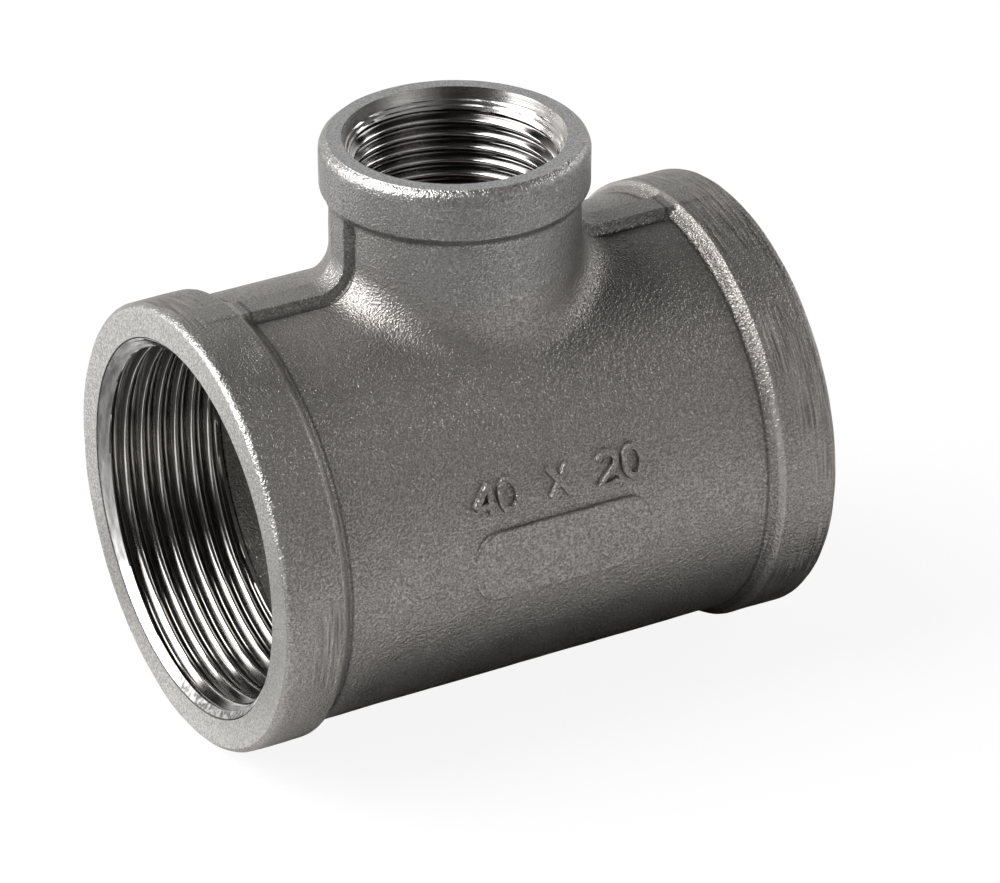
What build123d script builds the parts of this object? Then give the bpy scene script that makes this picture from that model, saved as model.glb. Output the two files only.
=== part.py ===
from build123d import *
import math
import os

# A reducing pipe tee, cast in one piece and then tapped: two run ports of one size on the X axis,
# and a smaller branch port that points up. All sizes are in millimetres.

# Overall sizes, each from where the run and branch axes cross
run_half_length = 38.0
branch_height = 44.0

# Threads: 55-degree parallel pipe threads, 1 1/2 inch in the run and 3/4 inch in the branch
run_thread_diameter = 47.803
run_thread_pitch = 2.309
run_thread_length = 17.0
branch_thread_diameter = 26.441
branch_thread_pitch = 1.814
branch_thread_length = 15.2
thread_depth_per_pitch = 0.640327

# Countersinks that lead into the threads: how far each opens past the thread's crests, and its depth
run_countersink_opening = 1.5
run_countersink_depth = 1.3
branch_countersink_opening = 1.6
branch_countersink_depth = 3.4

# The cast waterway behind the threads clears the tap by this much on the radius
run_core_clearance = 0.2
branch_core_clearance = 0.1

# Walls over the waterway
run_wall = 2.8
branch_wall = 2.1

# End bands, which stand proud of the body and the neck and slope down to them
run_band_rise = 1.3
run_band_width = 7.6
run_band_slope = 1.4
run_band_root_radius = 1.0
run_face_chamfer = 0.6
branch_band_rise = 1.1
branch_band_width = 6.2
branch_band_slope = 1.2
branch_band_root_radius = 0.8
branch_face_rounding = 1.6

# The blend where the neck grows out of the body
saddle_radius = 4.5

# Ribs on the plane of the two axes, along the top of the body and up both sides of the neck
rib_thickness = 3.9
run_rib_rise = 1.1
branch_rib_rise = 0.8
rib_corner_radius = 3.5
rib_foot_radius = 0.5

# A flat pad for markings on the front of the body
pad_length = 24.2
pad_height = 9.3
pad_corner_radius = 3.4
pad_rise = 0.1

run_crest_radius = run_thread_diameter / 2 - thread_depth_per_pitch * run_thread_pitch
branch_crest_radius = branch_thread_diameter / 2 - thread_depth_per_pitch * branch_thread_pitch
run_core_radius = run_thread_diameter / 2 + run_core_clearance
branch_core_radius = branch_thread_diameter / 2 + branch_core_clearance
body_radius = run_core_radius + run_wall
neck_radius = branch_core_radius + branch_wall
run_band_radius = body_radius + run_band_rise
branch_band_radius = neck_radius + branch_band_rise
rib_top = body_radius + run_rib_rise
rib_side = neck_radius + branch_rib_rise

# The barrels and the ribs run on to here, inside the end bands
run_barrel_end = run_half_length - run_band_width / 2
branch_barrel_end = branch_height - branch_band_width / 2

# Two points nearer than this are taken as one
near = 0.001


def outline_face(points):
    """A flat face with straight sides through the points."""
    return make_face(Polyline(*points, close=True))


def corner(face, point):
    """The corner of the face that lies at the point."""
    return face.vertices().sort_by_distance(Vector(*point))[0]


def aimed_up(solid):
    """Turns a port that was made along X so that it points up."""
    return solid.rotate(Axis.Y, -90)


def both_ends(solid):
    """The right-hand end of the run and its mirror image."""
    return solid + mirror(solid, Plane.YZ)


def band_section(face_at, width, slope, band_radius, barrel_radius, root_radius):
    """Half the section of an end band along X, with the slope that runs down to the barrel."""
    band_from = face_at - width
    slope_from = band_from - slope
    points = [
        (slope_from - 2 * root_radius, 0),
        (face_at, 0),
        (face_at, band_radius),
        (band_from, band_radius),
        (slope_from, barrel_radius),
        (slope_from - 2 * root_radius, barrel_radius),
    ]
    section = outline_face(points)
    return fillet(corner(section, points[4]), root_radius)


def run_bands():
    section = band_section(
        run_half_length,
        run_band_width,
        run_band_slope,
        run_band_radius,
        body_radius,
        run_band_root_radius,
    )
    rim = corner(section, (run_half_length, run_band_radius))
    return both_ends(revolve(chamfer(rim, run_face_chamfer), Axis.X))


def branch_band():
    section = band_section(
        branch_height,
        branch_band_width,
        branch_band_slope,
        branch_band_radius,
        neck_radius,
        branch_band_root_radius,
    )
    rim = corner(section, (branch_height, branch_band_radius))
    return aimed_up(revolve(fillet(rim, branch_face_rounding), Axis.X))


def body_and_neck():
    """The two round barrels, each as far as the middle of its bands, with the saddle blended."""
    body = extrude(Plane.YZ * Circle(body_radius), run_barrel_end, both=True)
    neck = extrude(Circle(neck_radius), branch_barrel_end)
    barrels = body + neck
    saddle = barrels.edges().filter_by(GeomType.BSPLINE)
    return fillet(saddle, saddle_radius)


def rib_section():
    """A low rib along the top of the body and one up each side of the neck, as one outline."""
    points = [
        (-run_barrel_end, 0),
        (-run_barrel_end, rib_top),
        (-rib_side, rib_top),
        (-rib_side, branch_barrel_end),
        (rib_side, branch_barrel_end),
        (rib_side, rib_top),
        (run_barrel_end, rib_top),
        (run_barrel_end, 0),
    ]
    section = outline_face(points)
    section = fillet(corner(section, points[2]), rib_corner_radius)
    section = fillet(corner(section, points[5]), rib_corner_radius)
    return Plane.XZ * section


def rib_feet(ribbed):
    """The edges where the sides of the ribs meet the barrels, and not those along the ribs' crests."""
    crest = rib_section().wire()
    feet = ShapeList()
    for edge in ribbed.edges():
        middle = edge @ 0.5
        on_side = math.isclose(abs(middle.Y), rib_thickness / 2, abs_tol=near)
        past_end = abs(middle.X) > run_barrel_end - near or middle.Z > branch_barrel_end - near
        on_crest = crest.distance_to(Vertex(middle.X, 0, middle.Z)) < near
        if on_side and not past_end and not on_crest:
            feet.append(edge)
    return feet


def ribbed_barrels():
    """The barrels with their ribs, blended where the ribs rise from them."""
    ribbed = body_and_neck() + extrude(rib_section(), rib_thickness / 2, both=True)
    return fillet(rib_feet(ribbed), rib_foot_radius)


def pad():
    """A flat plate with round corners that just clears the front of the body."""
    outline = RectangleRounded(pad_length, pad_height, pad_corner_radius)
    return extrude(Plane.XZ * outline, body_radius + pad_rise)


def port_bore(face_at, crest_radius, opening, countersink_depth, thread_length, core_radius):
    """What is cut from one port, turned about X: countersink, tapped bore and cast waterway."""
    thread_end = face_at - thread_length
    points = [
        (0, 0),
        (face_at, 0),
        (face_at, crest_radius + opening),
        (face_at - countersink_depth, crest_radius),
        (thread_end, crest_radius),
        (thread_end - (core_radius - crest_radius), core_radius),
        (0, core_radius),
    ]
    return revolve(outline_face(points), Axis.X)


def waterway():
    """Everything that the cores and the taps leave open."""
    run_port = port_bore(
        run_half_length,
        run_crest_radius,
        run_countersink_opening,
        run_countersink_depth,
        run_thread_length,
        run_core_radius,
    )
    branch_port = port_bore(
        branch_height,
        branch_crest_radius,
        branch_countersink_opening,
        branch_countersink_depth,
        branch_thread_length,
        branch_core_radius,
    )
    return both_ends(run_port) + aimed_up(branch_port)


def tee_body():
    casting = ribbed_barrels() + run_bands() + branch_band() + pad()
    return casting - waterway()


os.makedirs("parts", exist_ok=True)
standing = Pos(0, 0, run_band_radius) * tee_body()
export_step(standing, "parts/tee_body.step")
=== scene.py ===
import math
import bpy
import numpy as np
from mathutils import Matrix, Vector


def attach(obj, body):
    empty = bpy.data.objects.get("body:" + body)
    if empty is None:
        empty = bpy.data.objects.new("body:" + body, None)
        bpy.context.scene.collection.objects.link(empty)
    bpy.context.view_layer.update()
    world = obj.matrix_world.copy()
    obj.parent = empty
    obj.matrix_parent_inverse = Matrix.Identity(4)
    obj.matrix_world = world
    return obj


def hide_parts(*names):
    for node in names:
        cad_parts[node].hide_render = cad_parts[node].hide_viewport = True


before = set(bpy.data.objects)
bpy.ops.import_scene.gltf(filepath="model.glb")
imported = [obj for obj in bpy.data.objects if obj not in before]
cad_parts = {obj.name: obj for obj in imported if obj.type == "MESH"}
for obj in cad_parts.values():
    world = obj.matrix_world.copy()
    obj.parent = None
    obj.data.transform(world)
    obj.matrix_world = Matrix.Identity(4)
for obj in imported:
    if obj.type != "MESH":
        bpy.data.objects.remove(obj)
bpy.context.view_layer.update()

# Sizes in millimetres from where the run and branch axes cross, as in the part's source.
# The run lies along X, the branch points up Z, and the pad is on the front, towards -Y.
MM = 0.001
RUN_END = 38.0
BRANCH_END = 44.0

# 55-degree parallel pipe threads, with their depth and rounding per pitch. The flanks are opened
# from 27.5 to 38 degrees, as they are worn.
RUN_THREAD = 47.803
RUN_PITCH = 2.309
BRANCH_THREAD = 26.441
BRANCH_PITCH = 1.814
THREAD_DEPTH_PER_PITCH = 0.640327
THREAD_ROUNDING = 0.137329
THREAD_HALF_ANGLE = math.radians(38)

# The waterway's clearance behind the threads, and the walls over it
RUN_CLEARANCE = 0.2
BRANCH_CLEARANCE = 0.1
RUN_WALL = 2.8
BRANCH_WALL = 2.1

# End bands and ribs
RUN_BAND_RISE = 1.3
RUN_BAND_WIDTH = 7.6
RUN_BAND_SLOPE = 1.4
RUN_ROOT_RADIUS = 1.0
BRANCH_BAND_RISE = 1.1
BRANCH_BAND_WIDTH = 6.2
BRANCH_BAND_SLOPE = 1.2
BRANCH_ROOT_RADIUS = 0.8
RUN_RIB_RISE = 1.1
BRANCH_RIB_RISE = 0.8
RIB_HALF = 1.95

RUN_CREST = RUN_THREAD / 2 - THREAD_DEPTH_PER_PITCH * RUN_PITCH
BRANCH_CREST = BRANCH_THREAD / 2 - THREAD_DEPTH_PER_PITCH * BRANCH_PITCH
RUN_CORE = RUN_THREAD / 2 + RUN_CLEARANCE
BRANCH_CORE = BRANCH_THREAD / 2 + BRANCH_CLEARANCE
BODY = RUN_CORE + RUN_WALL
NECK = BRANCH_CORE + BRANCH_WALL
RUN_BAND = BODY + RUN_BAND_RISE
BRANCH_BAND = NECK + BRANCH_BAND_RISE
RIB_TOP = BODY + RUN_RIB_RISE
RIB_SIDE = NECK + BRANCH_RIB_RISE
AXIS_HEIGHT = RUN_BAND

# Blends and roundings of the casting
SADDLE_RADIUS = 4.5
RIB_CORNER_RADIUS = 3.5
RIB_FOOT_RADIUS = 0.6
RIB_EDGE_RADIUS = 0.3
BAND_EDGE_RADIUS = 0.4
RUN_RIM_RADIUS = 1.05
BRANCH_RIM_RADIUS = 1.7
CORE_BLEND_RADIUS = 1.2

# The ribs run into the end bands and stop this far from the faces
RIB_STOP = 3.5

# A shallow channel lies beside the ribs, up to these distances along the run and up the branch
CHANNEL_HALF = 0.55
CHANNEL_DEPTH = 0.28
RUN_CHANNEL_END = 28.8
BRANCH_CHANNEL_END = 36.3

# How uneven the cast skin and the waterway are, as pairs of half the height and the wavelength
BROAD_WAVES = (0.035, 7.0)
SHORT_WAVES = (0.012, 2.4)
CORE_WAVES = (0.06, 4.0)

# What was cut off the cast ends when the faces were machined
CUT_OFF = 0.12

# Openings of the countersinks in the machined faces. The faces start this far inside the rims.
RUN_MOUTH = 23.94
BRANCH_MOUTH = 13.66
FACE_MARGIN = 0.1

# The marking pad, and how far its sides reach into the body
PAD_HALF_LENGTH = 12.1
PAD_HALF_HEIGHT = 4.65
PAD_CORNER_RADIUS = 3.4
PAD_RISE = 0.1
PAD_EDGE_RADIUS = 0.28
PAD_SINK = 1.2

# The numerals above the pad: their height, where they stand round the body from its front, how
# much they are widened, how deep their sides are sunk, and where each starts along the run
NUMERAL_HEIGHT = 3.7
NUMERAL_BASE = 7.0
NUMERAL_WIDENING = 1.15
NUMERAL_SINK = 0.05
NUMERALS = (("4", -11.6), ("0", -8.2), ("X", -1.3), ("2", 5.4), ("0", 8.9))

# The grids: how far the part of the body that carries the neck reaches along and round the run,
# where the neck's own rings start, where those of the waterway end, and the rows and lines
WINDOW_HALF = 22.5
CORE_WINDOW_HALF = 17.0
WINDOW_ANGLE = math.radians(45)
NECK_START = 32.0
CORE_NECK_START = 27.5
CORE_END = 20.6
CORE_NECK_END = 28.8
CORNER_TURN = math.radians(50)
PATCH_ROWS = 24
SIDE_LINES = 26
REST_LINES = 92

# The grid's lines pass the ribs this far from the plane of the two axes, close together over the
# ribs' edges and feet. The distances are kept at these radii, about half-way up the ribs.
RIB_LINES = [0, 0.55, 1.05, 1.4, 1.58, 1.7, 1.81, 1.9, 1.97, 2.06, 2.18, 2.34, 2.54, 2.9, 3.5, 4.2]
BODY_LINES_RADIUS = BODY + 0.5
NECK_LINES_RADIUS = NECK + 0.4

# Places across the slopes of the bands, and steps in each pitch of a thread
RUN_SLOPE = [28.2, 28.5, 28.75, 28.95, 29.12, 29.3, 29.55, 29.85, 30.08, 30.2, 30.3, 30.4]
RUN_SLOPE += [30.52, 30.7, 31.1]
BRANCH_SLOPE = [34.9, 35.25, 35.55, 35.8, 36.0, 36.2, 36.4, 36.65, 36.95, 37.2, 37.4, 37.52]
BRANCH_SLOPE += [37.62, 37.72, 37.84, 38.0, 38.4]
THREAD_STEPS = 20

# Rays that find a surface: how far inside the faces they start, how long they are, how much
# farther than the surface those over the saddle start, and how often they are halved
JUST_INSIDE = 0.001
RUN_REACH = 60.0
NECK_REACH = 22.0
PATCH_OVERSHOOT = 1.6
BISECTIONS = 26

# Keeps a division off zero, and a comparison off rounding
TINY = 1e-9

# Where the looks change: along the run, in from the rims, and as pairs of heights above the
# ground, of distances from the plane of the two axes or of depths below a thread's crests
RUN_BAND_EDGE = RUN_END - RUN_BAND_WIDTH
# Where the painted shade at the run bands' roots lies
RUN_BAND_ROOT_SHADE = 28.8
# The rims' smooth, lighter band is partly wear and partly a painted highlight, which fades out towards
# the ground.
RUN_RIM_WEAR_AND_HIGHLIGHT = 0.62
BRANCH_RIM_WEAR_AND_HIGHLIGHT = 1.0
RIM_RAGGEDNESS = 1.2
# The width of the painted highlight along the run bands' edges
BAND_EDGE_HIGHLIGHT = 0.45
RIM_HIGHLIGHT_HEIGHTS = (32, 42)
# Heights between which painted shade lies beside the ribs
CORNER_SHADE_HEIGHTS = (40, 64.6)
NECK_HEIGHTS = (54, 60)
FLATTER_HEIGHTS = (46, 53)
BLOTCH_HEIGHTS = (12, 13)
BLOTCH_SIDES = (3, 4.5)
# How deep below the crests the painted highlight fades out
CREST_HIGHLIGHT_DEPTHS = (0.1, 0.35)

# Noises, in features per metre, and the range that most of a noise's values lie in
FINE_NOISE = 4200
COARSE_NOISE = 2200
BLOTCH_NOISE = 1600
RIM_NOISE = 1300
LUMP_NOISE = 900
TURNED_NOISE = 300
CLOUD_NOISE = 160
PATCH_NOISE = 70
GROUND_STRETCH = (3200, 160, 160)
NOISE_RANGE = (0.3, 0.7)
GRAIN_RANGE = (0.37, 0.7)

# The neck's red, green and blue, as shares of the body's
NECK_TINT = (0.91, 0.94, 0.97)
WHITE = (1, 1, 1, 1)

# The studio, in metres
LIT_POINT = (0, 0, 0.03)
FLOOR = [(-3, -3), (3, -3), (3, 3), (-3, 3)]
FLOOR_SHADOW_REACH = (0.06, 0.3)
CARD_HEIGHT = 0.002
CARDS = {
    "card_under_lens": [(-0.24, -0.17), (-0.03, -0.085), (0.08, -0.34), (-0.13, -0.42)],
    # A dark card under the part, seen only in the metal: a painted shadow
    "painted_shadow_card": [(-0.026, -0.036), (0.06, -0.036), (0.06, 0.036), (-0.026, 0.036)],
    "card_left": [(-1.2, -0.3), (-0.045, -0.006), (-0.045, 0.045), (-1.2, 0.2)],
}


def blend(a, b, radius, cosine=0.0):
    """The union of two solids, given by distances, with a fillet where they meet.
    cosine is that of the angle between their normals."""
    cosine = np.clip(cosine, -0.9, 0.9)
    share = 1 - cosine**2
    along_a = ((radius - a) - cosine * (radius - b)) / share
    along_b = ((radius - b) - cosine * (radius - a)) / share
    reach = np.sqrt(np.maximum(along_a**2 + along_b**2 + 2 * along_a * along_b * cosine, 0))
    return np.where((along_a > 0) & (along_b > 0), radius - reach, np.minimum(a, b))


def rounded(a, b, radius, cosine=0.0):
    """What two solids share, with the edge between them rounded."""
    return -blend(-a, -b, radius, cosine)


def ripple(points, wavelength, seed, waves=40, spread=(0.65, 1.5), peak=1.4):
    """Smooth random waves of about that wavelength at each point, cut off at -1 and 1."""
    random = np.random.default_rng(seed)
    headings = random.normal(size=(waves, 3))
    headings /= np.linalg.norm(headings, axis=1)[:, None]
    numbers = 2 * math.pi / wavelength * random.uniform(*spread, waves)
    phases = random.uniform(0, 2 * math.pi, waves)
    total = np.sin(points @ (headings * numbers[:, None]).T + phases).sum(1)
    return np.clip(total / math.sqrt(waves) / peak, -1, 1)


def sunk_by(points, waves, seed):
    """How far random waves lower a surface: at most by twice half their height."""
    half_height, wavelength = waves
    return half_height * (1 + ripple(points, wavelength, seed))


def barrel(radius_at, along, barrel_radius, band_radius, end, width, slope, root, rim):
    """A barrel with a band round its end. The band slopes down to the barrel and blends into it."""
    rise = band_radius - barrel_radius
    length = math.hypot(rise, slope)
    sloped = ((end - width - along) * rise + (radius_at - band_radius) * slope) / length
    band = rounded(radius_at - band_radius, along - end - CUT_OFF, rim)
    band = rounded(band, sloped, BAND_EDGE_RADIUS, slope / length)
    return blend(radius_at - barrel_radius, band, root, slope / length)


def ribs(x, y, z):
    """The ribs on the plane of the two axes, as one outline that turns the corner."""
    outline = blend(z - RIB_TOP, np.abs(x) - RIB_SIDE, RIB_CORNER_RADIUS)
    plate = rounded(outline, np.abs(y) - RIB_HALF, RIB_EDGE_RADIUS)
    stop = np.maximum(np.abs(x) - RUN_END + RIB_STOP, z - BRANCH_END + RIB_STOP)
    return np.maximum(plate, np.maximum(stop, -z))


def rib_channels(x, y, z):
    """How deep the channels beside the ribs are. They stop short of the bands."""
    beside = (np.abs(y) - RIB_HALF - CHANNEL_HALF / 2) / CHANNEL_HALF
    short = np.clip(RUN_CHANNEL_END - np.abs(x), 0, 1) * np.clip(BRANCH_CHANNEL_END - z, 0, 1)
    return CHANNEL_DEPTH * np.clip(1 - beside**2, 0, 1) * short * (z > 0)


def cosine_between(y, from_run, from_branch):
    """The cosine of the angle between the normals of barrels round the run and the branch."""
    return y * y / (from_run * from_branch + TINY)


def cast_outside(points):
    """The outside of the casting, with its ends left long and its skin uneven."""
    x, y, z = points.T
    from_run = np.hypot(y, z)
    from_branch = np.hypot(x, y)
    run_band = (RUN_END, RUN_BAND_WIDTH, RUN_BAND_SLOPE, RUN_ROOT_RADIUS)
    run = barrel(from_run, np.abs(x), BODY, RUN_BAND, *run_band, RUN_RIM_RADIUS)
    branch_band = (BRANCH_END, BRANCH_BAND_WIDTH, BRANCH_BAND_SLOPE, BRANCH_ROOT_RADIUS)
    branch = barrel(from_branch, z, NECK, BRANCH_BAND, *branch_band, BRANCH_RIM_RADIUS)
    branch = np.maximum(branch, -z)
    both = blend(run, branch, SADDLE_RADIUS, cosine_between(y, from_run, from_branch))
    solid = blend(both, ribs(x, y, z), RIB_FOOT_RADIUS)
    uneven = sunk_by(points, BROAD_WAVES, 3) + sunk_by(points, SHORT_WAVES, 5)
    return solid + uneven + rib_channels(x, y, z)


def cast_core(points):
    """The waterway as the cores left it: a run bore and a branch bore that cross."""
    x, y, z = points.T
    from_run = np.hypot(y, z)
    from_branch = np.hypot(x, y)
    branch = np.maximum(from_branch - BRANCH_CORE, -z)
    cosine = cosine_between(y, from_run, from_branch)
    void = blend(from_run - RUN_CORE, branch, CORE_BLEND_RADIUS, cosine)
    return void + sunk_by(points, CORE_WAVES, 7)


def surface_on_rays(shape, origins, headings, reach):
    """Where rays that start inside a solid leave it."""
    near = np.zeros(len(origins))
    far = np.full(len(origins), reach)
    for _ in range(BISECTIONS):
        middle = (near + far) / 2
        outside = shape(origins + headings * middle[:, None]) > 0
        far = np.where(outside, middle, far)
        near = np.where(outside, near, middle)
    return origins + headings * ((near + far) / 2)[:, None]


def steps(*runs):
    """Rising numbers: each run is (end, how many steps lead to it), and the first starts at 0."""
    numbers = [0.0]
    for end, count in runs:
        numbers += list(np.linspace(numbers[-1], end, count + 1)[1:])
    return np.array(numbers)


def mirrored(numbers):
    """Numbers that rise from 0, after their negatives."""
    return np.concatenate([-numbers[:0:-1], numbers])


def run_turns():
    """The angles of the lines along the run, measured from the top, and the numbers of the two
    lines that border the window."""
    edge = np.arcsin(np.array(RIB_LINES) / BODY_LINES_RADIUS)
    side = np.linspace(edge[-1], WINDOW_ANGLE, SIDE_LINES + 1)[1:]
    rest = np.linspace(WINDOW_ANGLE, math.pi, REST_LINES + 1)[1:]
    half = np.concatenate([edge, side, rest])
    top = len(half) - 2
    to_border = len(edge) + len(side) - 1
    return mirrored(half)[1:], top - to_border, top + to_border


def ring(along, radius, turns):
    """A ring of points round the X axis."""
    return np.stack([np.full(len(turns), along), radius * np.sin(turns), radius * np.cos(turns)], 1)


def level_ring(height, radius, turns):
    """A ring of points round the Z axis."""
    return np.stack([radius * np.cos(turns), radius * np.sin(turns), np.full(len(turns), height)], 1)


def run_rows(shape, places, turns):
    """Rings of points on a surface round the run, one for each place along it."""
    spokes = ring(0, 1, turns)
    rows = []
    for place in places:
        inside = np.clip(place, -RUN_END + JUST_INSIDE, RUN_END - JUST_INSIDE)
        origins = np.tile([inside, 0, 0], (len(turns), 1))
        row = surface_on_rays(shape, origins, spokes, RUN_REACH)
        row[:, 0] = place
        rows.append(row)
    return rows


def neck_turns(turns, first, last, across):
    """The angle round the branch of each point of the window's border, with the ribs' lines kept."""
    lines = BODY_LINES_RADIUS * np.sin(turns[first : last + 1])
    kept = RIB_LINES[-1]
    border = lines[-1]
    reach = NECK_LINES_RADIUS * math.sin(CORNER_TURN)
    share = np.clip((np.abs(lines) - kept) / (border - kept), 0, 1)
    beyond = kept + (reach - kept) * share
    across_y = np.sign(lines) * np.where(np.abs(lines) < kept, np.abs(lines), beyond)
    side = np.arcsin(across_y / NECK_LINES_RADIUS)
    front = np.linspace(CORNER_TURN, math.pi - CORNER_TURN, across + 1)
    return np.concatenate([side[:-1], front[:-1], math.pi + side[:-1], math.pi + front[:-1]])


def neck_ring(shape, height, turns):
    """A ring of points on a surface round the branch."""
    spokes = level_ring(0, 1, turns)
    origins = np.tile([0, 0, min(height, BRANCH_END - JUST_INSIDE)], (len(turns), 1))
    row = surface_on_rays(shape, origins, spokes, NECK_REACH)
    row[:, 2] = height
    return row


def window_patch(shape, border, neck, run_radius):
    """Rows of points over the saddle, from the window's border up to the neck's first ring.
    Each line lies in an upright plane and is found by rays that fan out from above the border."""
    pivot = border.copy()
    pivot[:, 2] = neck[:, 2]
    corner = neck.copy()
    corner[:, 2] = np.sqrt(np.maximum(run_radius**2 - neck[:, 1] ** 2, 0))
    low = np.linalg.norm(corner - border, axis=1)
    high = np.linalg.norm(neck - corner, axis=1)
    rows = []
    for row in range(1, PATCH_ROWS):
        gone = (low + high) * row / PATCH_ROWS
        on_low = np.clip(gone / low, 0, 1)[:, None]
        on_high = np.clip((gone - low) / high, 0, 1)[:, None]
        target = border + (corner - border) * on_low + (neck - corner) * on_high
        start = pivot + (target - pivot) * PATCH_OVERSHOOT
        heading = pivot - start
        reach = np.linalg.norm(heading, axis=1)
        rows.append(surface_on_rays(shape, start, heading / reach[:, None], reach))
    return rows


def new_object(name, data):
    """A scene object with this mesh, lamp or lens."""
    thing = bpy.data.objects.new(name, data)
    bpy.context.scene.collection.objects.link(thing)
    return thing


class Shell:
    """Collects points and faces, with a material for each face."""

    def __init__(self):
        self.points = []
        self.faces = []
        self.finishes = []
        self.count = 0

    def add(self, points):
        """Adds points and returns their numbers."""
        self.points.append(points)
        self.count += len(points)
        return np.arange(self.count - len(points), self.count)

    def band(self, a, b, finish=0, flipped=False, skip=None):
        """Faces between two closed rings of the same length."""
        if flipped:
            a, b = b, a
        quads = np.stack([a, b, np.roll(b, -1), np.roll(a, -1)], 1)
        if skip is not None:
            quads = np.delete(quads, skip, axis=0)
        self.faces += quads.tolist()
        self.finishes += [finish] * len(quads)

    def lid(self, a):
        """One face inside a ring."""
        self.faces.append(list(a))
        self.finishes.append(0)

    def build(self, name, materials, sharp=32):
        """The object, in metres in the row frame, riding on the one body."""
        points = np.concatenate(self.points)
        used, numbers = np.unique(np.concatenate(self.faces), return_inverse=True)
        cuts = np.cumsum([len(f) for f in self.faces])[:-1]
        faces = [part.tolist() for part in np.split(numbers, cuts)]
        points = (points[used] + np.array([0, 0, AXIS_HEIGHT])) * MM
        mesh = bpy.data.meshes.new(name)
        mesh.from_pydata(points.tolist(), [], faces)
        for material in materials:
            mesh.materials.append(material)
        mesh.polygons.foreach_set("material_index", self.finishes)
        mesh.polygons.foreach_set("use_smooth", [True] * len(faces))
        mesh.set_sharp_from_angle(angle=math.radians(sharp))
        mesh.update()
        piece = new_object(name, mesh)
        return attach(piece, "root")


def run_places():
    """Places along the outside of the run, close together where the band starts and at the rim."""
    rim = RUN_RIM_RADIUS * (1 - np.cos(np.linspace(0, math.pi / 2, 8)))
    half = np.concatenate([steps((WINDOW_HALF, 22), (27.8, 5)), RUN_SLOPE, np.linspace(32, 36.8, 6)])
    return mirrored(np.concatenate([half, RUN_END - RUN_RIM_RADIUS + np.sort(RUN_RIM_RADIUS - rim)]))


def neck_heights():
    """The same for heights up the outside of the neck."""
    lower = np.linspace(NECK_START, 34.4, 4)
    rim = BRANCH_END - BRANCH_RIM_RADIUS * (1 - np.sin(np.linspace(0, math.pi / 2, 12)))
    return np.concatenate([lower, BRANCH_SLOPE, np.linspace(39.2, 41.8, 4), rim])


def border_of(rows, low, high, first, last):
    """The numbers of the window's border, in the order of the turn round the branch."""
    right = rows[high][first:last]
    back = [rows[r][last] for r in range(high, low, -1)]
    left = rows[low][last:first:-1]
    front = [rows[r][first] for r in range(low, high)]
    return np.concatenate([right, back, left, front])


def make_casting(materials):
    """The casting with its three faces cut, as one closed skin: outside, faces and waterway."""
    shell = Shell()
    turns, first, last = run_turns()
    places = run_places()
    outside = [shell.add(row) for row in run_rows(cast_outside, places, turns)]
    across = int(np.sum(np.abs(places) <= WINDOW_HALF + TINY)) - 1
    core_places = mirrored(steps((CORE_WINDOW_HALF, across // 2), (CORE_END, 3)))
    core = [shell.add(row) for row in run_rows(cast_core, core_places, turns)]
    low = int(np.argmin(np.abs(places + WINDOW_HALF)))
    core_low = int(np.argmin(np.abs(core_places + CORE_WINDOW_HALF)))
    gap = list(range(first, last))
    for i in range(len(outside) - 1):
        shell.band(outside[i], outside[i + 1], skip=gap if low <= i < low + across else None)
    for i in range(len(core) - 1):
        inside = core_low <= i < core_low + across
        shell.band(core[i], core[i + 1], flipped=True, skip=gap if inside else None)
    close_run_end(shell, 1, outside[-1], core[-1], turns)
    close_run_end(shell, -1, outside[0], core[0], turns)
    round_neck = neck_turns(turns, first, last, across)
    border = border_of(outside, low, low + across, first, last)
    core_border = border_of(core, core_low, core_low + across, first, last)
    rim = neck_side(shell, cast_outside, border, neck_heights(), round_neck, BODY)
    core_heights = np.linspace(CORE_NECK_START, CORE_NECK_END, 3)
    bore = neck_side(shell, cast_core, core_border, core_heights, round_neck, RUN_CORE)
    close_neck_end(shell, rim, bore, round_neck)
    casting = shell.build("tee_casting", materials)
    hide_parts("tee_body")


def neck_side(shell, shape, border, heights, turns, run_radius):
    """Grows a skin from the window in the run, over the saddle and up the branch, and returns the
    numbers of its last ring."""
    necks = [neck_ring(shape, height, turns) for height in heights]
    points = np.concatenate(shell.points)
    patch = window_patch(shape, points[border], necks[0], run_radius)
    rings = [border] + [shell.add(row) for row in patch + necks]
    for a, b in zip(rings, rings[1:]):
        shell.band(a, b, flipped=shape is cast_outside)
    return rings[-1]


def close_end(shell, rim, face, bore_wall, bore, flipped):
    """The rings of a machined face and of the bore wall behind it, from the rim to the waterway."""
    rings = [rim, *face, *bore_wall, bore]
    finishes = [1] * (len(face) + 1) + [0] * len(bore_wall)
    for a, b, finish in zip(rings, rings[1:], finishes):
        shell.band(a, b, finish, flipped=flipped)


def close_run_end(shell, sign, rim, bore, turns):
    """A run end's machined face, and behind it the bore that the threaded sleeve is set in."""
    wide = RUN_BAND - RUN_RIM_RADIUS - FACE_MARGIN
    room = RUN_CORE + 0.2
    face = [shell.add(ring(sign * RUN_END, r, turns)) for r in np.linspace(wide, RUN_MOUTH, 6)]
    bore_wall = [(37.4, RUN_MOUTH), (37.3, room), (30.0, room), (20.7, room)]
    bore_wall = [shell.add(ring(sign * x, r, turns)) for x, r in bore_wall]
    close_end(shell, rim, face, bore_wall, bore, sign < 0)


def close_neck_end(shell, rim, bore, turns):
    """The same for the branch."""
    wide = BRANCH_BAND - BRANCH_RIM_RADIUS - FACE_MARGIN
    face = [shell.add(level_ring(BRANCH_END, r, turns)) for r in np.linspace(wide, BRANCH_MOUTH, 4)]
    bore_wall = [(43.75, BRANCH_MOUTH), (43.6, 13.95), (39.8, 13.95), (39.7, 13.4), (28.9, 13.4)]
    bore_wall = [shell.add(level_ring(z, r, turns)) for z, r in bore_wall]
    close_end(shell, rim, face, bore_wall, bore, True)


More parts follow.
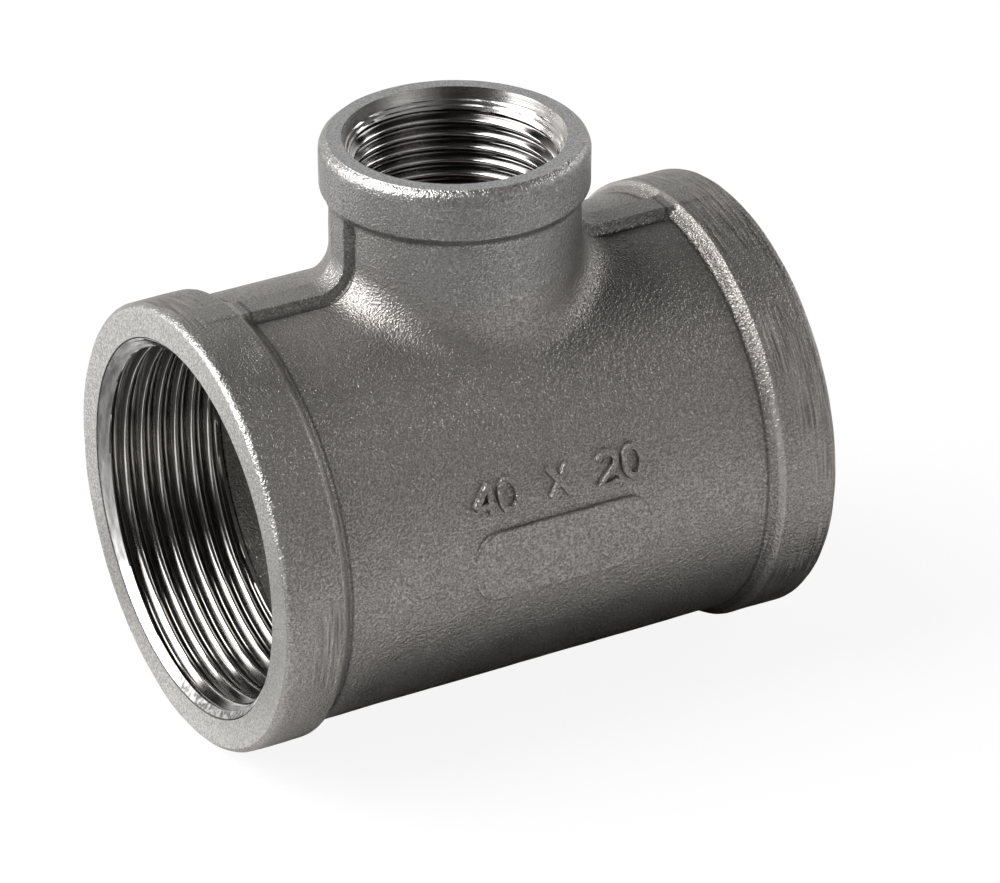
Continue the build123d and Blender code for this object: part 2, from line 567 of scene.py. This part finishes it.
def thread_depth(phase):
    """How far a tapped thread lies below its crest, per pitch, with worn flanks and round crests
    and roots. The crest is at phase 0."""
    across = np.abs((phase + 0.5) % 1 - 0.5)
    radius = THREAD_ROUNDING
    bend = radius * math.cos(THREAD_HALF_ANGLE)
    lip = radius * (1 - math.sin(THREAD_HALF_ANGLE))
    whole = 2 * lip + (0.5 - 2 * bend) / math.tan(THREAD_HALF_ANGLE)
    flank = lip + (across - bend) / math.tan(THREAD_HALF_ANGLE)
    crest = radius - np.sqrt(np.maximum(radius**2 - across**2, 0))
    root = whole - radius + np.sqrt(np.maximum(radius**2 - (0.5 - across) ** 2, 0))
    return np.where(across < bend, crest, np.where(across > 0.5 - bend, root, flank))


def helix_depths(port, turns):
    """How deep in the port the sleeve's points lie: rows round it, each of which gains one pitch."""
    pitch = port["pitch"]
    rows = np.arange(-THREAD_STEPS, int(port["back"] / pitch * THREAD_STEPS) + 2)
    offset = port["crest_at"] % pitch - pitch
    return offset + rows[:, None] * pitch / THREAD_STEPS + pitch * turns[None, :] / (2 * math.pi)


def sleeve_radii(port, depth, turns):
    """The radii of the thread and of the countersink at each point."""
    pitch = port["pitch"]
    phase = (depth - port["crest_at"]) / pitch - turns[None, :] / (2 * math.pi)
    thread = port["crest"] + pitch * thread_depth(phase)
    thread = np.maximum(thread, port["crest"] + (depth - port["length"]))
    return thread, np.interp(depth, *port["mouth"])


def rows_inside(port, depth):
    """For each point the number of the row whose point is used: beyond the sleeve's ends, the last
    one at the end."""
    first = np.maximum(np.sum(depth <= port["front"], axis=0) - 1, 0)
    last = np.minimum(np.sum(depth < port["back"], axis=0), len(depth) - 1)
    return np.clip(np.arange(len(depth))[:, None], first[None, :], last[None, :])


def add_helix_faces(shell, numbers, in_cone):
    """Faces between the rows. Each row ends one pitch deeper, so it meets a later one there.
    Where points are the same at the sleeve's ends, a face has three corners or none."""
    finishes = (in_cone[:-1] & in_cone[1:]).astype(int).reshape(-1).tolist()
    wrap = np.clip(np.arange(len(numbers)) + THREAD_STEPS, 0, len(numbers) - 1)
    beside = np.concatenate([numbers[:, 1:], numbers[wrap, :1]], axis=1)
    quads = np.stack([numbers[:-1], numbers[1:], beside[1:], beside[:-1]], -1).reshape(-1, 4)
    for quad, finish in zip(quads.tolist(), finishes):
        corners = [c for k, c in enumerate(quad) if c != quad[k - 1]]
        if len(set(corners)) > 2:
            shell.faces.append(corners)
            shell.finishes.append(finish)


def threaded_sleeve(name, materials, centre, inward, right, port):
    """The tapped wall of a port, cut along its helix, with the countersink at its mouth.
    materials are the thread's and the countersink's.
    inward points into the port, and the thread's angle is measured from right, about inward."""
    turns = np.arange(port["columns"]) * 2 * math.pi / port["columns"]
    up = np.cross(inward, right)
    spokes = np.outer(np.cos(turns), right) + np.outer(np.sin(turns), up)
    depth = helix_depths(port, turns)
    clipped = np.clip(depth, port["front"], port["back"])
    thread, cone = sleeve_radii(port, clipped, turns)
    radius = np.maximum(thread, cone)
    points = centre + clipped[..., None] * inward + radius[..., None] * spokes[None]
    shell = Shell()
    numbers = shell.add(points.reshape(-1, 3)).reshape(depth.shape)
    at = rows_inside(port, depth)
    numbers = np.take_along_axis(numbers, at, axis=0)
    add_helix_faces(shell, numbers, np.take_along_axis(cone >= thread, at, axis=0))
    wall = [shell.add(centre + along * inward + r * spokes) for along, r in port["wall"]]
    rings = [numbers[-1], *wall, numbers[0]]
    for a, b in zip(rings, rings[1:]):
        shell.band(a, b)
    sleeve = shell.build(name, materials)


# The ports, in depths from their faces: the crests' radius and the depth of one crest, where the
# thread starts to run out, the sleeve's two ends, and how many points go round it. The mouth is
# the countersink, and the wall is the sleeve's outside. That lies in the casting's metal, but for
# a gap at the run's face that shows as a fine line.
RUN_PORT = {
    "pitch": RUN_PITCH,
    "crest": RUN_CREST,
    "crest_at": 3.325,
    "length": 15.6,
    "front": 0.12,
    "back": 17.36,
    "columns": 240,
    "mouth": ([0, 1.31, 1.34, 2.5], [RUN_MOUTH - 0.01, 22.44, 22.0, 22.0]),
    "wall": [
        (17.3, RUN_CORE + 0.1),
        (16.6, RUN_CORE + 0.3),
        (0.8, RUN_CORE + 0.3),
        (0.7, RUN_MOUTH - 0.09),
    ],
}

BRANCH_PORT = {
    "pitch": BRANCH_PITCH,
    "crest": BRANCH_CREST,
    "crest_at": 4.243,
    "length": 15.2,
    "front": 0.01,
    "back": 16.4,
    "columns": 180,
    "mouth": (
        [0, 1.5, 1.56, 2.05, 2.1, 2.6, 3.4, 4.0],
        [BRANCH_MOUTH - 0.01, 13.16, 13.02, 12.84, 12.7, 12.45, 12.06, 12.0],
    ),
    "wall": [(16.3, 13.44), (4.5, 13.5), (4.0, 14.05), (0.45, 14.05)],
}


def make_sleeves(run_cut, branch_cut):
    """The three ports' sleeves. Each cut is the materials of a thread and of its countersink."""
    x, y, z = np.eye(3)
    threaded_sleeve("run_thread_left", run_cut, -RUN_END * x, x, y, RUN_PORT)
    threaded_sleeve("run_thread_right", run_cut, RUN_END * x, -x, y, RUN_PORT)
    threaded_sleeve("branch_thread", branch_cut, BRANCH_END * z, -z, x, BRANCH_PORT)


def pad_outline(inset):
    """The pad's outline with round corners, drawn in by that much."""
    half_length = PAD_HALF_LENGTH - inset
    half_height = PAD_HALF_HEIGHT - inset
    radius = max(PAD_CORNER_RADIUS - inset, 0.1)
    points = []
    for quarter, (cx, cz) in enumerate(((1, 1), (-1, 1), (-1, -1), (1, -1))):
        for turn in np.linspace(0, math.pi / 2, 13) + quarter * math.pi / 2:
            x = cx * (half_length - radius) + radius * math.cos(turn)
            z = cz * (half_height - radius) + radius * math.sin(turn)
            points.append((x, z))
    return np.array(points)


def make_pad(material):
    """The raised flat plate on the front, left bare."""
    shell = Shell()
    edge = PAD_EDGE_RADIUS
    rings = [(0.0, PAD_SINK), (0.0, edge)]
    for turn in np.linspace(0, math.pi / 2, 5)[1:]:
        rings.append((edge * (1 - math.cos(turn)), edge * (1 - math.sin(turn))))
    rings += [(inset, 0.0) for inset in (0.5, 1.2, 2.2, 3.2)]
    numbers = []
    for inset, sunk in rings:
        outline = pad_outline(inset)
        y = np.full(len(outline), -(BODY + PAD_RISE) + sunk)
        numbers.append(shell.add(np.stack([outline[:, 0], y, outline[:, 1]], 1)))
    for a, b in zip(numbers, numbers[1:]):
        shell.band(a, b, flipped=True)
    shell.lid(numbers[-1][::-1])
    shell.lid(numbers[0])
    pad = shell.build("marking_pad", [material])


def arc(cx, cy, rx, ry, start, end, count):
    """Points along part of an ellipse, from one angle in degrees to another."""
    turns = np.radians(np.linspace(start, end, count))
    return [(cx + rx * math.cos(t), cy + ry * math.sin(t)) for t in turns]


# Strokes of the plain size numerals in a box 1 high. A line of more than MOST_CORNERS points is a
# curve and makes one stroke. In the others each straight side is a stroke of its own.
STROKES = {
    "4": [[(0.5, 0), (0.5, 1), (0.0, 0.3), (0.66, 0.3)]],
    "0": [arc(0.3, 0.5, 0.28, 0.5, 0, 360, 29)],
    "2": [arc(0.3, 0.7, 0.28, 0.3, 165, -35, 14) + [(0.0, 0.0), (0.6, 0.0)]],
    "X": [[(0.0, 0.0), (0.62, 1.0)], [(0.0, 1.0), (0.62, 0.0)]],
}
MOST_CORNERS = 6


def stroke_section():
    """Across a raised stroke: how far to the side, and how high. Cast strokes have soft sides."""
    side = np.array([-0.5, -0.46, -0.4, -0.24, 0.0, 0.24, 0.4, 0.46, 0.5])
    height = np.array([-0.3, 0.1, 0.45, 0.58, 0.6, 0.58, 0.45, 0.1, -0.3])
    return side, height


def add_stroke(shell, line):
    """One raised stroke along a line of points on the unrolled body."""
    line = np.array(line)
    closed = np.allclose(line[0], line[-1])
    if closed:
        line = line[:-1]
        ahead = np.roll(line, -1, axis=0) - np.roll(line, 1, axis=0)
    else:
        ahead = np.gradient(line, axis=0)
    ahead /= np.linalg.norm(ahead, axis=1)[:, None]
    beside = np.stack([-ahead[:, 1], ahead[:, 0]], 1)
    side, height = stroke_section()
    rows = []
    for point, away in zip(line, beside):
        flat = point + side[:, None] * away
        turn = flat[:, 1] / BODY
        radius = BODY - NUMERAL_SINK + height
        place = np.stack([flat[:, 0], -radius * np.cos(turn), radius * np.sin(turn)], 1)
        rows.append(shell.add(place))
    for a, b in zip(rows, rows[1:] + rows[:1]):
        if closed or b is not rows[0]:
            shell.band(a, b, flipped=True)
    if not closed:
        shell.lid(rows[0])
        shell.lid(rows[-1][::-1])


def finer(points, step=0.25):
    """The same line with points at most a step apart."""
    line = []
    for a, b in zip(points, points[1:]):
        count = max(1, round(math.dist(a, b) / step))
        for share in np.arange(count) / count:
            line.append((a[0] + (b[0] - a[0]) * share, a[1] + (b[1] - a[1]) * share))
    return line + [points[-1]]


def make_numerals(material):
    """Plain raised size numerals above the pad."""
    shell = Shell()
    for character, left in NUMERALS:
        for stroke in STROKES[character]:
            corners = []
            for u, v in stroke:
                x = left + u * NUMERAL_HEIGHT * NUMERAL_WIDENING
                corners.append((x, NUMERAL_BASE + v * NUMERAL_HEIGHT))
            if len(corners) > MOST_CORNERS:
                add_stroke(shell, corners)
                continue
            for a, b in zip(corners, corners[1:]):
                add_stroke(shell, finer([a, b]))
    numerals = shell.build("size_numerals", [material])


def feed(tree, node, inputs):
    """Gives a node its inputs: each is another node's output or a plain value."""
    for name, value in inputs.items():
        if isinstance(value, bpy.types.NodeSocket):
            tree.links.new(value, node.inputs[name])
        else:
            node.inputs[name].default_value = value


def added(tree, kind, inputs):
    """A new node of that kind, with its inputs."""
    node = tree.nodes.new(kind)
    feed(tree, node, inputs)
    return node


def new_material(name):
    """A material with its node tree and its Principled shader."""
    material = bpy.data.materials.new(name)
    material.use_nodes = True
    tree = material.node_tree
    return material, tree, tree.nodes["Principled BSDF"]


def shade(colour, share=1.0):
    """The colour made lighter or darker, with its alpha."""
    return [c * share for c in colour] + [1]


def noise_of(tree, vector, scale, detail):
    """The value of a noise texture, with features of about 1 / scale metres."""
    inputs = {"Vector": vector, "Scale": scale, "Detail": detail}
    return added(tree, "ShaderNodeTexNoise", inputs).outputs["Fac"]


def streaks_of(tree, place, stretch, slant=0.0):
    """The value of a noise that is stretched into streaks, turned by slant about Y."""
    inputs = {"Vector": place, "Scale": stretch, "Rotation": (0, slant, 0)}
    squeeze = added(tree, "ShaderNodeMapping", inputs)
    return noise_of(tree, squeeze.outputs["Vector"], 1.0, 3.0)


def ramp_of(tree, value, span, colour, shares):
    """The colour from its dark share to its light one, as the value goes over the span."""
    ramp = added(tree, "ShaderNodeValToRGB", {"Fac": value})
    for element, place, share in zip(ramp.color_ramp.elements, span, shares):
        element.position = place
        element.color = shade(colour, share)
    return ramp.outputs["Color"]


def faded(tree, value, low, high, at_low=0.0, at_high=1.0, fade="LINEAR"):
    """A number that goes from at_low to at_high as the value goes from low to high."""
    inputs = {"Value": value, "From Min": low, "From Max": high, "To Min": at_low, "To Max": at_high}
    spread = added(tree, "ShaderNodeMapRange", inputs)
    spread.interpolation_type = fade
    return spread.outputs["Result"]


def over_noise(tree, noise, low, high):
    """A number that goes from low to high over the values that a noise mostly has."""
    return faded(tree, noise, *NOISE_RANGE, low, high)


def bumped(tree, height, distance, strength, under=None):
    """The normal of a surface with this height in it, on top of another normal."""
    inputs = {"Height": height, "Distance": distance, "Strength": strength}
    if under is not None:
        inputs["Normal"] = under
    return added(tree, "ShaderNodeBump", inputs).outputs["Normal"]


def combined(tree, operation, a, b=0.0):
    """A Math node on two values, or on the first alone."""
    node = added(tree, "ShaderNodeMath", {0: a, 1: b})
    node.operation = operation
    return node.outputs["Value"]


def times(tree, a, b):
    """The product of two values."""
    return combined(tree, "MULTIPLY", a, b)


def measured(tree, operation, *vectors):
    """The number that a Vector Math node makes of its vectors."""
    node = added(tree, "ShaderNodeVectorMath", dict(enumerate(vectors)))
    node.operation = operation
    return node.outputs["Value"]


def mixed(tree, factor, a, b, kind="RGBA"):
    """A Mix node between two colours or, as kind FLOAT, between two values."""
    mix = tree.nodes.new("ShaderNodeMix")
    mix.data_type = kind
    feed(tree, mix, {"Factor": factor, "A": a, "B": b})
    return mix.outputs["Result"]


def within(tree, value, low, high, soft):
    """1 where the value lies between the two numbers, fading to 0 over the soft distance outside."""
    rise = faded(tree, value, low - soft, low)
    fall = faded(tree, value, high + soft, high)
    return times(tree, rise, fall)


def parts_of(tree, place):
    """The X, Y and Z of a place."""
    return added(tree, "ShaderNodeSeparateXYZ", {"Vector": place}).outputs


def along_run(tree, place):
    """How far along the run a place lies from the branch's axis, to either side."""
    return combined(tree, "ABSOLUTE", parts_of(tree, place)["X"])


def by_height(tree, place, at_body, at_neck, heights):
    """A value that has one number on the body and fades to the other between two heights."""
    start, end = heights
    return faded(tree, parts_of(tree, place)["Z"], start * MM, end * MM, at_body, at_neck)


def rim_wear_and_highlight_mask(tree, place):
    """1 on the rims of the three ports, where the edges were rubbed smooth and are painted lighter as a
    highlight, with a ragged border. The run's rims are left rough towards the ground, where the mask
    fades out."""
    past_run = combined(tree, "SUBTRACT", along_run(tree, place), (RUN_END - RUN_RIM_WEAR_AND_HIGHLIGHT) * MM)
    branch_from = (AXIS_HEIGHT + BRANCH_END - BRANCH_RIM_WEAR_AND_HIGHLIGHT) * MM
    past_branch = combined(tree, "SUBTRACT", parts_of(tree, place)["Z"], branch_from)
    past = combined(tree, "MAXIMUM", past_run, past_branch)
    ragged = combined(tree, "SUBTRACT", noise_of(tree, place, RIM_NOISE, 3.0), 0.5)
    ragged = times(tree, ragged, RIM_RAGGEDNESS * MM)
    on_rim = faded(tree, combined(tree, "ADD", past, ragged), -0.2 * MM, 0.4 * MM)
    return times(tree, on_rim, by_height(tree, place, 0.0, 1.0, RIM_HIGHLIGHT_HEIGHTS))


def ground_mask(tree, place):
    """1 in patches on the outsides of the run's bands, where they were ground."""
    out = along_run(tree, place)
    on_band = faded(tree, out, (RUN_BAND_EDGE - 0.1) * MM, (RUN_BAND_EDGE + 0.5) * MM)
    patches = faded(tree, noise_of(tree, place, PATCH_NOISE, 1.0), 0.47, 0.56)
    return times(tree, on_band, patches)


def band_edge_highlight_mask(tree, place):
    """1 along the edge between the outside of a run band and its slope, where a lighter colour paints a
    highlight on the cast skin.
    """
    worn_from = (RUN_BAND_EDGE - BAND_EDGE_HIGHLIGHT) * MM
    return within(tree, along_run(tree, place), worn_from, RUN_BAND_EDGE * MM, 0.25 * MM)


def corner_shade_mask(tree, place):
    """1 in the corners along the feet of the ribs and of the run's bands, where painted shade darkens
    them.
    """
    out = along_run(tree, place)
    parts = parts_of(tree, place)
    side = combined(tree, "ABSOLUTE", parts["Y"])
    bottom, top = CORNER_SHADE_HEIGHTS
    along = faded(tree, out, (RUN_BAND_ROOT_SHADE + 0.4) * MM, RUN_BAND_ROOT_SHADE * MM)
    upright = within(tree, parts["Z"], bottom * MM, top * MM, 0.4 * MM)
    beside = within(tree, side, (RIB_HALF + 0.2) * MM, (RIB_HALF + 0.45) * MM, 0.3 * MM)
    foot = times(tree, times(tree, along, upright), beside)
    root = within(tree, out, (RUN_BAND_ROOT_SHADE - 0.1) * MM, RUN_BAND_ROOT_SHADE * MM, 0.3 * MM)
    return combined(tree, "MAXIMUM", foot, root)


def crest_highlight_mask(tree, place, across, centre, crest):
    """1 on the crests of a thread and 0 in its grooves, by the distance from the port's axis, for a
    painted highlight on the crests.
    across are the two axes across the port, and centre is where its axis lies on them."""
    parts = parts_of(tree, place)
    squares = []
    for axis, middle in zip(across, centre):
        away = combined(tree, "SUBTRACT", parts[axis], middle * MM)
        squares.append(times(tree, away, away))
    radius = combined(tree, "SQRT", combined(tree, "ADD", *squares))
    near, far = CREST_HIGHLIGHT_DEPTHS
    return faded(tree, radius, (crest + far) * MM, (crest + near) * MM)


def low_front_blotch_mask(tree, place):
    """1 at the bottom of the run's countersinks, towards the side of the pad."""
    low = by_height(tree, place, 1.0, 0.0, BLOTCH_HEIGHTS)
    near, far = BLOTCH_SIDES
    beside = faded(tree, parts_of(tree, place)["Y"], far * MM, near * MM)
    return times(tree, low, beside)


def grain_colour(tree, place, fine, colour):
    """The colours of the sandy grain, which are a little cooler and closer together on the neck."""
    body = ramp_of(tree, fine, GRAIN_RANGE, colour, (0.78, 1.42))
    cooler = [c * share for c, share in zip(colour, NECK_TINT)]
    neck = ramp_of(tree, fine, GRAIN_RANGE, cooler, (0.82, 1.36))
    return mixed(tree, by_height(tree, place, 0.0, 1.0, NECK_HEIGHTS), body, neck)


def grain_roughness(tree, place, fine, roughness):
    """Dull and glossy grains, with faint cloudy patches. The neck is a little glossier."""
    cloudy = over_noise(tree, noise_of(tree, place, CLOUD_NOISE, 4.0), -0.05, 0.05)
    cloudy = combined(tree, "ADD", cloudy, by_height(tree, place, 0.0, -0.05, NECK_HEIGHTS))
    grains = over_noise(tree, fine, roughness + 0.16, roughness - 0.16)
    return combined(tree, "ADD", grains, cloudy)


def coarse_bumps(tree, place, strength):
    """The coarse bumps of the cast skin, which are flatter above the body."""
    coarse = noise_of(tree, place, COARSE_NOISE, 2.0)
    coarse = times(tree, coarse, by_height(tree, place, 1.0, 0.4, FLATTER_HEIGHTS))
    return bumped(tree, coarse, 0.2 * MM, strength)


def wear_and_painted_light(tree, place, colour, rim_wear_and_highlight, tint, dull, bumps):
    """The cast skin's colour, roughness and bumps with ground patches, a painted highlight along the
    band edges, painted shade in the corners and smooth rims that are painted lighter as a highlight."""
    ground = ground_mask(tree, place)
    streaks = streaks_of(tree, place, GROUND_STRETCH)
    tint = mixed(tree, ground, tint, ramp_of(tree, streaks, (0.35, 0.65), colour, (0.6, 1.45)))
    bumps = bumped(tree, times(tree, streaks, ground), 0.2 * MM, 0.6, bumps)
    # Painted highlight: the run bands' edges are painted lighter.
    edge = times(tree, band_edge_highlight_mask(tree, place), 0.8)
    tint = mixed(tree, edge, tint, shade(colour, 1.7))
    # Painted shade: the corners beside the ribs and at the bands' roots are painted darker.
    darkening = times(tree, corner_shade_mask(tree, place), 0.75)
    tint = mixed(tree, darkening, tint, shade(colour, 0.3))
    rim = rim_wear_and_highlight_mask(tree, place)
    lumps = times(tree, noise_of(tree, place, LUMP_NOISE, 3.0), rim)
    bumps = bumped(tree, lumps, 0.4 * MM, 0.5, bumps)
    # The rims take a smoother finish and a lighter colour, which is partly a painted highlight.
    rim_colour, rim_roughness = rim_wear_and_highlight
    tint = mixed(tree, rim, tint, shade(rim_colour))
    dull = mixed(tree, rim, dull, rim_roughness, "FLOAT")
    return tint, dull, bumps


def cast_material(name, colour, roughness, grain, rim_wear_and_highlight=None):
    """Blasted cast steel: dull metal with a fine sandy grain and faint cloudy patches.
    The last argument is the colour and roughness of the rims, partly a painted highlight, and without
    it there are no ground patches, smooth rims, painted highlights or painted shade."""
    material, tree, shader = new_material(name)
    place = tree.nodes.new("ShaderNodeTexCoord").outputs["Object"]
    fine = noise_of(tree, place, FINE_NOISE, 1.0)
    tint = grain_colour(tree, place, fine, colour)
    dull = grain_roughness(tree, place, fine, roughness)
    bumps = coarse_bumps(tree, place, grain * 1.25)
    if rim_wear_and_highlight:
        tint, dull, bumps = wear_and_painted_light(tree, place, colour, rim_wear_and_highlight, tint, dull, bumps)
    bumps = bumped(tree, fine, 0.14 * MM, grain, bumps)
    feed(tree, shader, {"Metallic": 0.88, "Specular Tint": shade([0.6] * 3)})
    feed(tree, shader, {"Base Color": tint, "Roughness": dull, "Normal": bumps})
    return material


def low_front_blotches(tree, place, colour, tint, dull):
    """The turned steel's colour and roughness with darker, duller blotches at the bottom of the run's
    countersinks.
    """
    mask = low_front_blotch_mask(tree, place)
    blotches = noise_of(tree, place, BLOTCH_NOISE, 3.0)
    darkening = ramp_of(tree, blotches, (0.4, 0.62), colour, (0.16, 0.6))
    return mixed(tree, mask, tint, darkening), mixed(tree, mask, dull, 0.5, "FLOAT")


def turned_material(
    name, colour, roughness, stretch, lines, slant=0.0, streaks=0.2, crests=None, low_blotched=False
):
    """Turned or tapped steel: bright, with fine tool lines. stretch is large across the lines.
    lines is how strong they are in the surface, and streaks in the colour. crests places a painted
    highlight on the thread's crests. The last argument adds darker blotches at the bottom of the run's
    countersinks."""
    material, tree, shader = new_material(name)
    place = tree.nodes.new("ShaderNodeTexCoord").outputs["Object"]
    along = streaks_of(tree, place, stretch, slant)
    tint = ramp_of(tree, along, NOISE_RANGE, colour, (1 - streaks, 1 + streaks * 0.7))
    if crests:
        # Painted highlight: the crests are painted more than twice as light.
        tint = mixed(tree, crest_highlight_mask(tree, place, *crests), tint, shade(colour, 2.3))
    patches = noise_of(tree, place, TURNED_NOISE, 3.0)
    dull = over_noise(tree, patches, roughness - 0.03, roughness + 0.04)
    if low_blotched:
        tint, dull = low_front_blotches(tree, place, colour, tint, dull)
    bumps = bumped(tree, along, 0.04 * MM, lines)
    feed(tree, shader, {"Metallic": 1.0, "Base Color": tint, "Roughness": dull, "Normal": bumps})
    return material


def softbox(name, place, size, power):
    """A rectangular lamp that points at the part."""
    lamp = bpy.data.lights.new(name, "AREA")
    lamp.shape = "RECTANGLE"
    lamp.size, lamp.size_y = size
    lamp.energy = power
    holder = new_object(name, lamp)
    holder.location = place
    heading = Vector(LIT_POINT) - Vector(place)
    holder.rotation_euler = heading.to_track_quat("-Z", "Y").to_euler()


def glow_of(tree, heading):
    """Nearly black, with a soft glow at the front right."""
    towards = measured(tree, "DOT_PRODUCT", heading, (0.45, -0.8, 0.4))
    return ramp_of(tree, towards, (0.7, 1.0), [1, 1, 1], (0.015, 0.53))


def backdrop_mask(tree, heading):
    """1 where the backdrop stands: low down at the back, and right of its left edge."""
    above = measured(tree, "DOT_PRODUCT", heading, (0, -0.8, 1))
    low = faded(tree, above, 0.15, -0.02, fade="SMOOTHSTEP")
    right_of_edge = faded(tree, parts_of(tree, heading)["X"], -0.4, -0.15)
    return times(tree, low, right_of_edge)


def make_world():
    """The studio: dark round about, with a glow at the front right and a white backdrop behind.
    The camera sees white all round."""
    world = bpy.data.worlds.new("studio")
    world.use_nodes = True
    tree = world.node_tree
    heading = tree.nodes.new("ShaderNodeTexCoord").outputs["Generated"]
    room = mixed(tree, backdrop_mask(tree, heading), glow_of(tree, heading), WHITE)
    by_camera = tree.nodes.new("ShaderNodeLightPath").outputs["Is Camera Ray"]
    feed(tree, tree.nodes["Background"], {"Color": mixed(tree, by_camera, room, WHITE)})
    bpy.context.scene.world = world


def flat_stage(name, corners, height, material):
    """A flat four-cornered thing in the studio, which isn't part of the object."""
    mesh = bpy.data.meshes.new(name)
    mesh.from_pydata([(x, y, height) for x, y in corners], [], [(0, 1, 2, 3)])
    mesh.materials.append(material)
    thing = new_object(name, mesh)
    return thing


def floor_glow(tree):
    """How much of the floor's light is its own: most of it for the camera, and for metal none
    near the part, where its shadow lies, and half of it farther away."""
    path = tree.nodes.new("ShaderNodeLightPath").outputs
    for_camera = times(tree, path["Is Camera Ray"], 0.9)
    for_metal = combined(tree, "MAXIMUM", path["Is Glossy Ray"], path["Is Transmission Ray"])
    place = tree.nodes.new("ShaderNodeTexCoord").outputs["Object"]
    clear = faded(tree, measured(tree, "LENGTH", place), *FLOOR_SHADOW_REACH, 0.0, 0.5)
    for_metal = times(tree, for_metal, clear)
    return combined(tree, "MAXIMUM", for_camera, for_metal)


def make_floor():
    """A white floor. The camera sees it nearly pure white, and metal sees it with its shadows."""
    material, tree, shader = new_material("white_floor")
    feed(tree, shader, {"Base Color": shade([0.9] * 3), "Roughness": 0.9, "Specular IOR Level": 0.0})
    glow = tree.nodes.new("ShaderNodeEmission").outputs["Emission"]
    inputs = {"Fac": floor_glow(tree), 1: shader.outputs["BSDF"], 2: glow}
    both = added(tree, "ShaderNodeMixShader", inputs)
    feed(tree, tree.nodes["Material Output"], {"Surface": both.outputs["Shader"]})
    flat_stage("floor", FLOOR, 0, material)


def make_cards():
    """Dark cards on the table, which only the metal sees. The one under the part is a painted shadow.
    """
    material, tree, shader = new_material("dark_card")
    feed(tree, shader, {"Base Color": shade([0.035] * 3), "Roughness": 0.9})
    for name, corners in CARDS.items():
        card = flat_stage(name, corners, CARD_HEIGHT, material)
        card.visible_camera = False
        card.visible_shadow = False
        card.visible_diffuse = False


def make_camera():
    """The photograph's view: a long lens that looks down at the part from its front left.
    The numbers were solved from the outline that the photograph shows."""
    turn = math.radians(29.031)
    tilt = math.radians(28.604)
    roll = math.radians(-0.221)
    target = Vector((6.11, 0, 0.271 + AXIS_HEIGHT)) * MM
    distance = 0.70305
    level_share = math.cos(tilt)
    forward = Vector((math.sin(turn) * level_share, math.cos(turn) * level_share, -math.sin(tilt)))
    level = Vector((math.cos(turn), -math.sin(turn), 0))
    right = level * math.cos(roll) + level.cross(forward) * math.sin(roll)
    up = right.cross(forward)
    lens = bpy.data.cameras.new("camera")
    lens.sensor_fit = "HORIZONTAL"
    lens.sensor_width = 36
    lens.lens = 203.44
    lens.clip_end = 20
    camera = new_object("camera", lens)
    turned = Matrix((right, up, -forward)).transposed().to_4x4()
    camera.matrix_world = Matrix.Translation(target - forward * distance) @ turned
    bpy.context.scene.camera = camera


def make_lights():
    """A key light and a lower panel at the left, and a weak light at the right."""
    softbox("key", (-0.81, 0.22, 1.03), (0.95, 1.05), 24)
    softbox("left", (-0.89, 0.38, 0.38), (0.98, 0.46), 8.2)
    softbox("right", (0.88, -0.1, 0.46), (0.5, 0.35), 2)


def make_skins():
    """The materials of the cast skin and of the machined faces."""
    # The rims' lighter colour is partly real wear and partly a painted highlight.
    rim_wear_and_highlight = ([0.4, 0.39, 0.375], 0.3)
    cast = cast_material("cast_steel", [0.275, 0.26, 0.245], 0.42, 0.8, rim_wear_and_highlight)
    faced = cast_material("faced_steel", [0.42, 0.41, 0.395], 0.5, 0.5)
    return cast, faced


def make_cuts():
    """The materials of the run's and of the branch's sleeves, each as thread and countersink.
    The run's countersinks are painted far lighter than the branch's, and the branch's thread a little
    darker than the run's: painted light and shade on one turned steel.
    """
    run_crests = (("Y", "Z"), (0, AXIS_HEIGHT), RUN_CREST)
    branch_crests = (("X", "Y"), (0, 0), BRANCH_CREST)
    # Painted light and shade: the run's countersink colour is far lighter than the branch's, and the
    # branch's thread colour a little darker than the run's.
    run_cut = turned_material(
        "run_cut_steel", [0.25, 0.24, 0.23], 0.15, (9000, 60, 60), 0.3, crests=run_crests
    )
    run_mouth = turned_material(
        "run_mouth_steel",
        [0.85, 0.84, 0.82],
        0.42,
        (2500, 500, 300),
        1.0,
        slant=0.8,
        streaks=0.45,
        low_blotched=True,
    )
    branch_cut = turned_material(
        "branch_cut_steel", [0.21, 0.2, 0.195], 0.15, (60, 60, 9000), 0.3, crests=branch_crests
    )
    branch_mouth = turned_material(
        "branch_mouth_steel", [0.45, 0.44, 0.425], 0.26, (200, 200, 8000), 0.5
    )
    return [run_cut, run_mouth], [branch_cut, branch_mouth]


make_camera()
bpy.context.scene.view_settings.view_transform = "Standard"
cast, faced = make_skins()
make_casting([cast, faced])
make_sleeves(*make_cuts())
make_pad(cast)
make_numerals(cast)
make_world()
make_floor()
make_cards()
make_lights()
